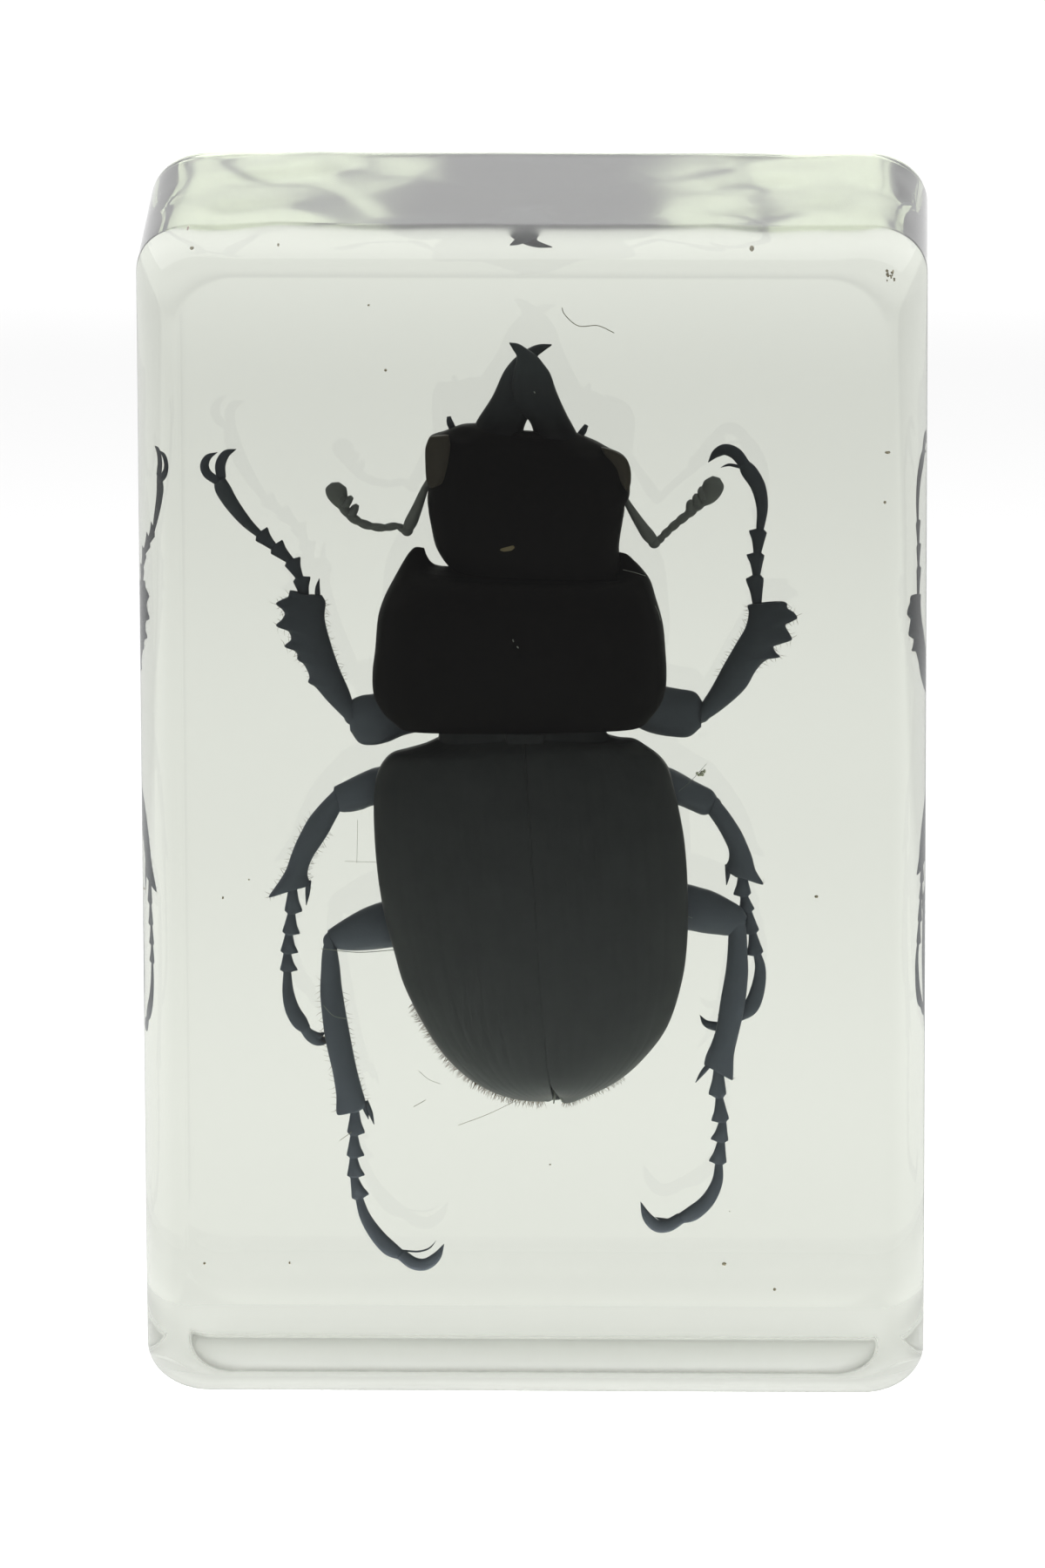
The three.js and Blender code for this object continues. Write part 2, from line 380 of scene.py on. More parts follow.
def casting():
    """Rings of a rectangle with elliptical corners, drawn in by the rounded edges, from the middle of the
    front face to the middle of the back face. The top is left a little wavy: z + waves(x, y), fading out
    below the top and towards the front and back faces."""
    corner = np.linspace(0, np.pi / 2, 15)
    straight = 64
    turn = np.concatenate([corner + q * np.pi / 2 for q in range(4)])
    sign_x = np.repeat([1, -1, -1, 1], len(corner))
    sign_z = np.repeat([1, 1, -1, -1], len(corner))

    def outline(inset, y):
        x = sign_x * (BLOCK_WIDTH / 2 - inset - CORNER_WIDE) + CORNER_WIDE * np.cos(turn)
        z = sign_z * (BLOCK_HEIGHT / 2 - inset - CORNER_HIGH) + CORNER_HIGH * np.sin(turn)
        ring = np.stack([x, np.full_like(x, y), z + BLOCK_HEIGHT / 2], axis=-1)
        after = np.roll(ring, -1, axis=0)
        fill = np.linspace(0, 1, straight, endpoint=False)[None, :, None]
        parts = []
        for start in range(0, len(ring), len(corner)):
            parts.append(ring[start:start + len(corner) - 1])
            last = start + len(corner) - 1
            parts.append(ring[last] + (after[last] - ring[last]) * fill[0])
        return np.concatenate(parts)

    def edge_profile(insets, depths, slopes, rim_radius):
        """Adds the small rim radius that turns the last slope into the side; insets run down to 0."""
        rim = np.linspace(slopes[-1], np.pi / 2, 8)[1:]
        insets = insets - insets[-1] + rim_radius * (1 - math.sin(slopes[-1]))
        insets = np.concatenate([insets, rim_radius * (1 - np.sin(rim))])
        depths = np.concatenate([depths, depths[-1] + rim_radius * (math.cos(slopes[-1]) - np.cos(rim))])
        return insets, depths

    swing = np.radians(np.linspace(0, FRONT_EDGE_TURN, 25))
    slopes = np.arctan2(FRONT_EDGE_DEEP * np.sin(swing), FRONT_EDGE_WIDE * np.cos(swing))
    front_insets, front_depths = edge_profile(
        -FRONT_EDGE_WIDE * np.sin(swing), FRONT_EDGE_DEEP * (1 - np.cos(swing)), slopes, SIDE_TURN_RADIUS)
    slopes = np.radians(np.linspace(BACK_EDGE_START, BACK_EDGE_END, 13))
    back_insets, back_depths = edge_profile(
        -BACK_EDGE_RADIUS * np.sin(slopes), BACK_EDGE_RADIUS * (np.cos(slopes[0]) - np.cos(slopes)), slopes,
        BACK_RIM_RADIUS)
    front = outline(front_insets[0], -BLOCK_DEPTH / 2)
    back = outline(back_insets[0], BLOCK_DEPTH / 2)
    middle_front = np.array([0, -BLOCK_DEPTH / 2, BLOCK_HEIGHT / 2])
    middle_back = np.array([0, BLOCK_DEPTH / 2, BLOCK_HEIGHT / 2])
    # the flat faces as ever wider rings round their middles
    shares = (0.02, 0.15, 0.3, 0.45, 0.6, 0.75, 0.9, 0.97, 0.99, 0.997)
    rings = [middle_front + (front - middle_front) * share for share in shares]
    rings += [outline(inset, -BLOCK_DEPTH / 2 + depth)
              for inset, depth in zip(front_insets, front_depths)]
    side_from = -BLOCK_DEPTH / 2 + front_depths[-1]
    side_to = BLOCK_DEPTH / 2 - back_depths[-1]
    rings += [outline(0.0, y) for y in np.linspace(side_from, side_to, 42)[1:-1]]
    rings += [outline(inset, BLOCK_DEPTH / 2 - depth)
              for inset, depth in zip(back_insets[::-1], back_depths[::-1])]
    rings += [middle_back + (back - middle_back) * share for share in shares[::-1]]
    rings = np.array(rings)
    x, y, z = rings[..., 0], rings[..., 1], rings[..., 2]
    near_top = np.clip((z - BLOCK_HEIGHT + 1.2) / 1.2, 0, 1)
    inside = np.clip((BLOCK_DEPTH / 2 - np.abs(y)) / 2.0, 0, 1)
    rings[..., 2] = z - near_top * inside * (TOP_SINK + top_waves(x, y))
    return ring_skin(rings)


block = piece("resin_casting", [casting()], resin)
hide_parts("resin_block")

# ---------------------------------------------------------------- the beetle's body
BODY_LIE = 1.6              # depth of the body's widest outline, in mm behind the plan

head_left = [(-2.68, 20.65), (-3.45, 20.58), (-4.45, 20.2), (-5.28, 19.88), (-5.48, 19.35), (-5.5, 18.35),
             (-5.43, 17.5), (-5.38, 16.8), (-5.38, 15.8), (-5.23, 14.88), (-4.97, 13.75), (-4.56, 13.0),
             (-4.1, 12.4), (-3.9, 11.8)]
head_right = [(3.1, 20.13), (3.7, 19.88), (4.32, 19.6), (5.03, 19.2), (5.75, 18.85), (6.1, 18.35),
              (6.15, 17.5), (6.1, 16.5), (5.85, 16.0), (5.75, 15.2), (5.6, 14.3), (5.53, 13.6), (5.6, 12.8),
              (5.6, 12.0)]


def head_relief(t, s, h):
    """A shallow hollow in the forehead and a low ridge above each eye, on the front side only."""
    hollow = -0.45 * np.exp(-((s / 0.38) ** 2) - ((t - 0.22) / 0.16) ** 2)
    ridge = 0.22 * np.exp(-(((np.abs(s) - 0.62) / 0.1) ** 2) - ((t - 0.45) / 0.25) ** 2)
    return (hollow + ridge) * (h > 0)


HEAD_RISE = [0.8, 1.4, 1.8, 2.1, 2.3, 2.4, 2.3, 2.0]
HEAD_SINK = [0.9, 1.5, 2.0, 2.3, 2.4, 2.4, 2.3, 2.1]
piece("head_capsule", [blade(
    head_left, head_right, HEAD_RISE, HEAD_SINK, BODY_LIE, steps=110, around=64, section=0.72,
    bow=[-0.35, -0.2, 0.0, 0.0, 0.0], carve=head_relief)], shell_chitin)
piece("eye_left", [egg((-4.86, 16.35, BODY_LIE + 0.4), (0.58, 1.25, 1.25))], eye_chitin)
piece("eye_right", [egg((5.28, 15.9, BODY_LIE + 0.4), (0.58, 1.1, 1.25))], eye_chitin)
# The ridges over the eyes are thin plates whose brown colour is painted light: backlight showing through thin
# cuticle.
piece("eye_ridge_left", [blade([(-5.3, 19.85), (-5.52, 19.3), (-5.54, 18.3), (-5.46, 17.3), (-5.3, 17.0)],
                               [(-4.2, 19.95), (-4.1, 19.3), (-4.15, 18.3), (-4.5, 17.3), (-5.0, 17.0)],
                               0.32, 0.5, BODY_LIE - 1.35)], painted_backlit_chitin)
piece("eye_ridge_right", [blade([(4.5, 19.3), (4.75, 18.7), (5.1, 18.0), (5.5, 17.4), (5.9, 16.9)],
                                [(5.3, 19.1), (5.85, 18.75), (6.15, 18.2), (6.2, 17.4), (6.1, 16.9)],
                                0.32, 0.4, BODY_LIE - 1.0)], painted_backlit_chitin)

# Jaws cross near their tips, the right one in front, each with a blunt tooth on its inner edge.
JAW_LIE_BEHIND = [1.6, 1.9, 2.3, 2.6, 2.6]
JAW_LIE_FRONT = [1.6, 1.5, 1.5, 1.7, 1.9]
jaw_left_outer = [(-2.75, 20.3), (-2.68, 20.65), (-1.7, 22.23), (-1.09, 23.55), (-0.7, 24.1), (-0.33, 24.47),
                  (0.25, 24.88), (0.9, 25.15), (1.67, 25.17)]
jaw_left_inner = [(0.05, 20.0), (0.1, 20.4), (0.35, 20.95), (1.2, 21.7), (1.15, 22.9), (0.9, 23.75),
                  (0.83, 24.4), (1.2, 24.75), (1.67, 25.09)]
jaw_right_inner = [(0.65, 20.0), (0.6, 20.3), (0.35, 20.85), (-0.45, 21.6), (-0.6, 22.8), (-0.45, 23.75),
                   (-0.33, 24.45), (-0.55, 24.85), (-0.74, 25.17)]
jaw_right_outer = [(3.2, 19.8), (3.1, 20.13), (2.48, 21.3), (1.97, 22.43), (1.56, 23.55), (1.2, 24.05),
                   (0.85, 24.47), (0.25, 24.9), (-0.25, 25.18), (-0.74, 25.25)]
jaw_swell = [1.0, 1.0, 0.85, 0.6, 0.45, 0.3, 0.08]
left_jaw = blade(jaw_left_outer, jaw_left_inner, jaw_swell, jaw_swell, JAW_LIE_BEHIND, steps=90)
right_jaw = blade(jaw_right_inner, jaw_right_outer, jaw_swell, jaw_swell, JAW_LIE_FRONT, steps=90)
piece("jaw_left", [left_jaw], jaw_chitin)
piece("jaw_right", [right_jaw], jaw_chitin)
piece("lip", [blade([(-2.2, 19.7), (-1.6, 20.0), (-0.8, 20.15), (-0.1, 20.22)],
                    [(2.6, 19.5), (2.2, 19.8), (1.4, 20.05), (0.75, 20.18)],
                    0.4, 0.4, BODY_LIE - 0.5)], shell_chitin)
piece("mouth_feelers", [
    rod([(-3.6, 19.6, 2.6), (-4.0, 20.4, 2.6), (-4.15, 20.75, 2.6), (-4.2, 21.05, 2.6)],
        [0.18, 0.2, 0.2, 0.12]),
    rod([(2.9, 19.4, 2.6), (3.25, 19.95, 2.6), (3.5, 20.3, 2.6), (3.66, 20.6, 2.6)],
        [0.18, 0.2, 0.2, 0.12]),
    rod([(-0.9, 20.4, 3.0), (-0.6, 21.0, 3.0), (-0.3, 21.3, 3.0)], [0.14, 0.16, 0.1]),
    rod([(1.0, 20.3, 3.0), (0.9, 20.9, 3.0), (0.7, 21.2, 3.0)], [0.14, 0.16, 0.1])], leg_chitin)

shield_left = [(-5.62, 13.58), (-6.12, 13.62), (-6.45, 13.35), (-6.85, 12.75), (-7.3, 11.95), (-7.9, 10.8),
               (-8.25, 9.75), (-8.45, 7.75), (-8.6, 6.5), (-8.55, 5.3), (-8.25, 4.6), (-7.6, 4.1)]
shield_right = [(5.55, 13.38), (5.97, 13.26), (6.4, 12.9), (6.8, 12.5), (7.3, 11.82), (7.65, 10.75),
                (8.05, 9.3), (8.2, 7.8), (8.27, 6.5), (8.22, 5.6), (8.0, 4.85), (7.5, 4.3)]


def shield_relief(t, s, h):
    """A low rim just inside the side edges, a faint groove along the middle and two shallow pits."""
    rim = 0.07 * np.exp(-(((np.abs(s) - 0.965) / 0.02) ** 2))
    groove = -0.07 * np.exp(-((s / 0.02) ** 2)) * np.sin(np.pi * np.clip(t, 0, 1))
    pits = -0.18 * np.exp(-(((np.abs(s) - 0.55) / 0.09) ** 2) - ((t - 0.62) / 0.07) ** 2)
    return (rim + groove + pits) * (h > 0)


SHIELD_BOW = [-1.03, -1.15, -0.95, -0.6, -0.33, -0.15, 0.0, 0.0, 0.0, 0.0, -0.08, -0.2, -0.4, -0.62, -0.85]
SHIELD_RISE = [0.5, 1.9, 2.9, 3.5, 3.7, 3.7, 3.5, 3.0, 2.3]
SHIELD_SINK = [0.12, 0.5, 1.3, 2.3, 3.0, 3.0, 2.8, 2.5, 2.2]
piece("thorax_shield", [blade(
    shield_left, shield_right, SHIELD_RISE, SHIELD_SINK, BODY_LIE, steps=150, around=140, section=0.85,
    bow=SHIELD_BOW, bow_power=20.0, carve=shield_relief)], shell_chitin)
# A pale sliver in the neck stands for light shining through the gap between head and thorax: painted light.
piece("painted_neck_gap_light", [blade([(-1.2, 13.55), (-1.3, 13.45), (-1.1, 13.36)],
                          [(-0.45, 13.74), (-0.35, 13.62), (-0.6, 13.42)],
                          0.12, 0.1, BODY_LIE - 2.3, steps=14)], painted_neck_gap_light)

waist_left = [(-4.9, 5.0), (-4.8, 3.3), (-4.9, 2.5), (-5.6, 1.4)]
waist_right = [(4.9, 5.0), (4.72, 3.3), (5.25, 2.6), (6.0, 1.4)]
piece("waist", [blade(waist_left, waist_right, [2.2, 2.3, 2.4], [2.4, 2.6, 2.8], BODY_LIE)], wing_chitin)
piece("scutellum", [blade([(-1.05, 2.95), (-0.75, 2.1), (0.1, 1.1)],
                          [(1.35, 2.95), (1.05, 2.1), (0.22, 1.1)],
                          0.15, 0.5, BODY_LIE - 2.4, steps=24)], wing_chitin)

case_left = [(-4.75, 2.7), (-5.5, 2.35), (-6.5, 2.05), (-7.5, 1.75), (-8.05, 1.2), (-8.4, 0.4),
             (-8.55, -1.0), (-8.5, -3.25), (-8.28, -5.6), (-7.9, -7.75), (-7.4, -9.6), (-6.9, -11.35),
             (-6.08, -13.1), (-4.65, -15.4), (-3.1, -16.9), (-1.55, -17.75), (0.0, -18.15), (1.5, -18.25)]
case_right = [(4.7, 2.9), (5.5, 2.7), (6.4, 2.6), (7.1, 2.2), (7.85, 1.65), (8.35, 1.0), (8.65, 0.0),
              (9.0, -1.5), (9.3, -3.15), (9.5, -5.65), (9.5, -8.95), (9.2, -11.25), (8.32, -13.95),
              (6.97, -15.75), (5.67, -16.9), (4.0, -17.8), (2.6, -18.32), (2.25, -18.25)]
seam_left = [(0.135, 3.0), (0.215, 2.0), (1.625, -16.5), (1.72, -17.3), (1.74, -18.1)]
seam_right = [(0.145, 3.0), (0.225, 2.0), (1.635, -16.5), (1.98, -17.3), (2.32, -18.1)]


def wing_case(margin, seam):
    """Half dome from the outer margin (w 0) to the seam (w 1): height * (1 - (1 - w) ** 2.2) ** 0.62, with
    nine faint lengthwise grooves, and closed underneath by the same dome set lower."""
    t = np.linspace(0, 1, 150)
    w = 1 - np.cos(np.linspace(0, np.pi / 2, 90))
    across = np.concatenate([w, w[::-1][:-1]])
    under = np.concatenate([np.zeros(len(w)), np.ones(len(w) - 1)])
    outer = flow(margin, t)
    inner = flow(seam, t)
    high = ease([2.3, 3.4, 3.9, 4.1, 4.1, 3.9, 3.4, 2.5, 0.25], t)[:, None]
    dome = (1 - (1 - across) ** 2.2) ** 0.62
    grooved = (across > 0.08) * (across < 0.97) * (1 - under)
    grooves = 0.03 * grooved * np.abs(np.sin(np.pi * 9.5 * across)) ** 6
    fade = np.clip(np.sin(np.pi * t), 0, 1)[:, None] ** 0.4
    rise = high * dome[None, :] - fade * grooves[None, :] - under * (0.3 + 0.5 * (1 - across) ** 4)
    plan = outer[:, None, :] + (inner - outer)[:, None, :] * across[None, :, None]
    return ring_skin(place(plan, BODY_LIE, rise))


piece("wing_case_left", [wing_case(case_left, seam_left)], wing_chitin)
piece("wing_case_right", [wing_case(case_right, seam_right)], wing_chitin)

belly_left = [(-4.6, 3.4), (-4.8, 2.4), (-6.1, 1.3), (-7.7, 0.4), (-8.25, -1.0), (-8.2, -3.25),
              (-7.95, -5.6), (-7.1, -9.6), (-5.75, -13.1), (-4.3, -15.3), (-2.8, -16.7), (0.2, -17.9),
              (1.5, -18.1)]
belly_right = [(4.5, 3.4), (4.9, 2.6), (6.5, 1.8), (8.0, 0.7), (8.6, -1.2), (9.0, -3.15), (9.2, -5.65),
               (9.2, -8.95), (8.0, -13.9), (6.7, -15.6), (5.4, -16.7), (3.0, -17.9), (2.2, -18.1)]


def belly_relief(t, s, h):
    """Five overlapping plates behind the hind legs, each lifted towards its rear edge, a groove along the
    middle of the breast in front of them, and a thin cross groove between breast and plates."""
    plates = np.clip((t - 0.36) / 0.6, 0, 1) * 5
    step = (plates % 1.0) ** 2 * (t > 0.36) * (t < 0.96)
    breast = 0.3 * np.exp(-((s / 0.03) ** 2)) * np.exp(-(((t - 0.2) / 0.12) ** 2))
    hip_line = 0.25 * np.exp(-(((t - 0.345) / 0.012) ** 2))
    return (-0.2 * step + breast + hip_line) * (h < -0.02) * np.clip(-h * 3, 0, 1)


piece("belly", [blade(belly_left, belly_right, [1.2, 2.0, 2.2, 2.2, 1.6, 0.3],
                      [2.6, 3.2, 3.4, 3.2, 2.7, 1.9, 0.4], BODY_LIE, steps=230, around=90, section=0.85,
                      carve=belly_relief)], belly_chitin)
piece("breast_keel", [blade([(-1.6, 8.2), (-1.3, 6.0), (-0.8, 4.2), (-0.35, 3.2)],
                            [(1.6, 8.2), (1.4, 6.0), (0.9, 4.2), (0.45, 3.2)], 1.5, [0.7, 0.9, 0.9, 0.6],
                            BODY_LIE + 2.4, steps=30)], belly_chitin)
piece("hips", [egg(centre, size) for centre, size in (
    ((-2.6, 5.4, 4.7), (1.9, 1.5, 1.3)), ((2.7, 5.6, 4.7), (1.9, 1.5, 1.3)),
    ((-2.6, -0.3, 4.6), (1.9, 1.5, 1.3)), ((2.8, -0.3, 4.6), (1.9, 1.5, 1.3)),
    ((-2.9, -7.1, 4.4), (2.9, 1.3, 1.3)), ((3.3, -6.4, 4.4), (2.9, 1.3, 1.3)))], belly_chitin)

# ---------------------------------------------------------------- legs
# Each leg: thigh and shin by their two edges, joints of the foot, last foot segment, claws with their
# greatest radius and the depth of their tips, spurs, the side of the foot's lobes (1 right of the way out,
# -1 left of it), whether the shin is broad, and the depth of the leg and of its last foot segment.
LEGS = {
    "front_left": {
        "thigh": ([(-2.4, 5.8), (-5.5, 6.2), (-7.5, 5.7), (-8.55, 5.25), (-9.25, 5.15), (-9.85, 4.85),
                   (-10.0, 4.4)],
                  [(-2.4, 5.0), (-5.0, 3.4), (-6.9, 2.85), (-7.7, 2.5), (-8.6, 2.3), (-9.35, 2.4),
                   (-9.9, 3.1)]),
        "shin": ([(-9.7, 4.6), (-9.95, 5.4), (-10.5, 6.67), (-11.0, 8.13), (-11.35, 9.6), (-11.3, 10.5),
                  (-11.5, 10.88)],
                 [(-9.75, 3.35), (-11.2, 4.8), (-11.95, 5.65), (-12.32, 5.9), (-12.25, 6.2), (-12.6, 6.95),
                  (-12.93, 7.2), (-12.95, 7.5), (-13.15, 7.72), (-13.68, 7.95), (-13.3, 8.35), (-13.45, 8.8),
                  (-14.15, 9.13), (-13.8, 9.5), (-13.65, 9.8), (-13.8, 10.05), (-14.15, 10.38),
                  (-13.8, 10.63), (-13.45, 10.8), (-13.33, 11.15), (-13.05, 11.0), (-12.75, 10.92)]),
        "foot": [(-12.46, 10.7), (-12.8, 11.95), (-13.35, 12.9), (-14.3, 13.68), (-15.15, 14.4)],
        "last": [(-15.1, 14.35), (-15.8, 15.0), (-16.6, 16.0), (-17.1, 16.85), (-17.3, 17.5)],
        "claws": [([(-17.4, 17.3), (-18.0, 17.75), (-18.15, 18.2), (-17.95, 18.65),
                    (-17.4, 18.95)], 0.27, -0.3),
                  ([(-17.2, 17.5), (-17.25, 18.25), (-16.95, 18.85), (-16.35, 19.15)], 0.3, 1.4)],
        "spurs": [[(-11.75, 10.7), (-11.75, 11.3), (-11.65, 11.82)]],
        "lobes": 1, "broad": True, "lie": 3.8, "claw_lie": 0.2,
    },
    "front_right": {
        "thigh": ([(2.5, 6.0), (5.5, 6.5), (7.3, 6.1), (8.2, 5.75), (9.0, 5.6), (9.95, 5.4), (10.35, 4.9)],
                  [(2.5, 5.2), (5.0, 3.9), (6.15, 3.6), (7.3, 3.1), (8.6, 2.85), (9.6, 2.85), (10.3, 3.4)]),
        "shin": ([(10.35, 4.85), (10.85, 5.63), (11.58, 6.98), (12.3, 8.23), (12.83, 9.17), (13.0, 10.0),
                  (12.94, 10.38), (13.3, 10.5)],
                 [(10.23, 3.55), (11.58, 4.48), (12.83, 5.63), (13.45, 6.67), (13.88, 7.15), (14.3, 7.38),
                  (14.82, 7.45), (14.55, 7.75), (14.45, 8.02), (14.9, 8.2), (15.5, 8.45), (15.38, 8.75),
                  (15.13, 9.27), (15.45, 9.45), (15.8, 9.68), (15.6, 10.0), (15.23, 10.25), (15.19, 10.52),
                  (14.9, 10.63), (14.29, 10.45)]),
        "foot": [(13.48, 10.3), (13.43, 12.2), (13.48, 13.45), (13.63, 14.8)],
        "last": [(13.63, 14.7), (13.75, 16.0), (13.5, 17.2), (12.9, 18.15), (12.65, 18.5)],
        "claws": [([(12.75, 18.4), (12.2, 19.06), (11.6, 19.27), (11.1, 19.05), (10.65, 18.55)], 0.36, 7.0),
                  ([(12.7, 18.2), (12.2, 18.35), (11.8, 18.4), (11.35, 18.25)], 0.1, 6.4)],
        "spurs": [],
        "lobes": -1, "broad": True, "lie": 6.2, "claw_lie": 5.6,
    },
    "middle_left": {
        "thigh": ([(-2.4, 0.1), (-6.0, 1.2), (-8.45, 1.0), (-9.0, 0.8), (-9.55, 0.55), (-10.25, 0.2),
                   (-10.85, -0.1)],
                  [(-2.4, -0.7), (-6.0, -1.2), (-8.55, -1.15), (-9.25, -1.4), (-10.0, -1.55), (-10.6, -1.5),
                   (-11.0, -1.0)]),
        "shin": ([(-10.8, -0.25), (-11.4, -0.85), (-11.9, -1.4), (-12.3, -1.9), (-12.7, -2.6),
                  (-13.05, -3.3), (-13.35, -4.05), (-13.65, -4.9), (-14.0, -5.5), (-14.65, -6.5),
                  (-13.95, -6.15), (-13.35, -6.0)],
                 [(-10.5, -1.5), (-10.85, -2.15), (-11.2, -2.8), (-11.65, -3.5), (-12.05, -4.1),
                  (-12.3, -4.65), (-12.4, -5.15), (-12.3, -5.75), (-12.8, -5.95)]),
        "foot": [(-13.25, -5.9), (-13.33, -7.5), (-13.48, -8.7), (-13.58, -9.8), (-13.6, -10.85)],
        "last": [(-13.6, -10.7), (-13.55, -12.0), (-13.3, -13.0), (-12.85, -13.75), (-12.5, -14.15)],
        "claws": [([(-12.6, -14.1), (-12.25, -14.55), (-11.85, -14.8), (-11.4, -14.75),
                    (-11.1, -14.5)], 0.33, 5.0),
                  ([(-12.6, -14.1), (-12.2, -14.4), (-11.8, -14.5), (-11.4, -14.3)], 0.25, 4.6)],
        "spurs": [[(-12.35, -5.5), (-12.4, -6.2), (-12.48, -6.95)]],
        "lobes": -1, "broad": False, "lie": 4.3, "claw_lie": 4.0,
    },
    "middle_right": {
        "thigh": ([(2.5, 0.1), (6.0, 1.4), (8.3, 1.1), (9.2, 0.7), (9.8, 0.35), (10.4, 0.05), (10.95, -0.25),
                   (11.2, -0.6)],
                  [(2.5, -0.7), (6.0, -1.0), (8.85, -1.05), (9.65, -1.35), (10.45, -1.65), (10.9, -1.5),
                   (11.1, -1.2)]),
        "shin": ([(10.75, -1.65), (11.2, -2.3), (11.6, -3.0), (11.9, -3.7), (11.9, -4.2), (11.7, -4.75),
                  (12.25, -5.2)],
                 [(11.15, -0.6), (11.75, -1.3), (12.25, -2.0), (12.65, -2.65), (12.95, -3.3), (13.25, -4.05),
                  (13.45, -4.8), (13.9, -5.65), (13.3, -5.4), (12.95, -5.25)]),
        "foot": [(12.68, -5.0), (12.8, -6.4), (13.03, -7.3), (13.3, -8.55), (13.55, -9.8)],
        "last": [(13.55, -9.6), (13.75, -10.5), (13.6, -11.75), (13.2, -12.75), (12.5, -13.35)],
        "claws": [([(12.6, -13.3), (11.75, -13.85), (11.1, -13.88), (10.6, -13.7),
                    (10.28, -13.25)], 0.3, 7.4),
                  ([(12.6, -13.3), (12.1, -13.5), (11.7, -13.5), (11.3, -13.2)], 0.2, 6.4)],
        "spurs": [[(11.85, -4.5), (11.85, -5.1), (11.78, -5.7)]],
        "lobes": 1, "broad": False, "lie": 5.6, "claw_lie": 6.0,
    },
    "hind_left": {
        "thigh": ([(-2.2, -6.8), (-6.0, -6.2), (-8.15, -6.75), (-9.0, -7.05), (-9.7, -7.4), (-10.75, -8.05),
                   (-11.25, -8.4)],
                  [(-2.2, -7.5), (-5.5, -9.1), (-7.55, -9.35), (-8.75, -9.5), (-9.85, -9.55),
                   (-10.75, -9.45), (-11.3, -9.1)]),
        "shin": ([(-11.25, -8.5), (-11.55, -9.5), (-11.65, -10.75), (-11.7, -12.0), (-11.6, -13.25),
                  (-11.45, -14.5), (-11.25, -15.5), (-11.0, -16.6), (-10.8, -17.9), (-10.72, -19.1),
                  (-10.3, -18.95)],
                 [(-10.7, -9.5), (-10.55, -10.5), (-10.45, -11.55), (-10.25, -12.9), (-10.0, -14.3),
                  (-9.8, -15.4), (-9.55, -16.6), (-9.3, -17.55), (-9.1, -18.35), (-9.15, -18.65),
                  (-9.5, -18.9)]),
        "foot": [(-9.7, -18.8), (-9.75, -20.35), (-9.78, -21.65), (-9.75, -22.8), (-9.45, -24.05)],
        "last": [(-9.5, -23.9), (-9.15, -25.0), (-8.5, -26.05), (-7.75, -26.85), (-7.0, -27.3)],
        "claws": [([(-7.1, -27.2), (-6.3, -27.75), (-5.65, -27.8), (-5.0, -27.35),
                    (-4.55, -26.6)], 0.38, 3.5),
                  ([(-7.0, -27.0), (-6.0, -27.05), (-5.4, -26.85), (-5.0, -26.4)], 0.06, 4.2)],
        "spurs": [[(-9.25, -18.3), (-9.05, -18.9), (-8.92, -19.35)],
                  [(-9.1, -18.3), (-8.8, -19.0), (-8.6, -19.65)]],
        "lobes": -1, "broad": False, "lie": 4.2, "claw_lie": 3.8,
    },
    "hind_right": {
        "thigh": ([(2.4, -6.0), (6.5, -5.2), (9.5, -5.65), (10.25, -5.85), (10.95, -6.05), (11.95, -6.55),
                   (12.7, -7.05), (12.95, -7.5)],
                  [(2.4, -6.8), (6.5, -8.1), (9.6, -8.3), (10.4, -8.45), (11.25, -8.55), (11.95, -8.6),
                   (12.5, -8.4), (12.8, -8.0)]),
        "shin": ([(11.9, -8.3), (11.85, -9.5), (11.75, -10.6), (11.6, -11.5), (11.45, -12.35), (11.2, -14.0),
                  (10.95, -14.8), (10.6, -15.65), (10.55, -16.15), (11.0, -16.15)],
                 [(12.8, -7.4), (12.95, -8.5), (13.0, -9.6), (13.05, -10.6), (13.0, -11.45), (12.9, -12.4),
                  (12.75, -13.25), (12.5, -14.35), (12.25, -15.5), (12.15, -17.0), (11.85, -16.4),
                  (11.6, -16.2)]),
        "foot": [(11.33, -16.0), (11.4, -18.1), (11.58, -19.5), (11.5, -20.65), (11.4, -21.95)],
        "last": [(11.4, -21.8), (11.3, -22.9), (10.75, -24.0), (9.9, -24.75), (9.1, -25.1)],
        "claws": [([(9.2, -25.05), (8.4, -25.5), (7.8, -25.5), (7.25, -25.0), (6.85, -24.1)], 0.39, 4.2),
                  ([(9.2, -25.0), (8.6, -25.2), (8.1, -25.15), (7.7, -25.0)], 0.14, 5.0)],
        "spurs": [[(10.9, -16.0), (10.4, -16.6), (10.02, -17.15)]],
        "lobes": 1, "broad": False, "lie": 5.0, "claw_lie": 4.6,
    },
}

HIP_LIE = 4.6               # depth at which the thighs leave the hips
# One foot segment: share of its length, distance to the plain side and to the lobed side in mm
FOOT_SHARES = np.array([0.0, 0.45, 0.82, 0.9, 0.96])
FOOT_PLAIN = np.array([0.25, 0.34, 0.42, 0.35, 0.26])
FOOT_LOBED = np.array([0.23, 0.38, 0.6, 0.45, 0.25])


def deepen(path, start, end):
    """Plan path with a depth that runs evenly from start to end."""
    path = np.asarray(path, float)
    return np.column_stack([path, np.linspace(start, end, len(path))])


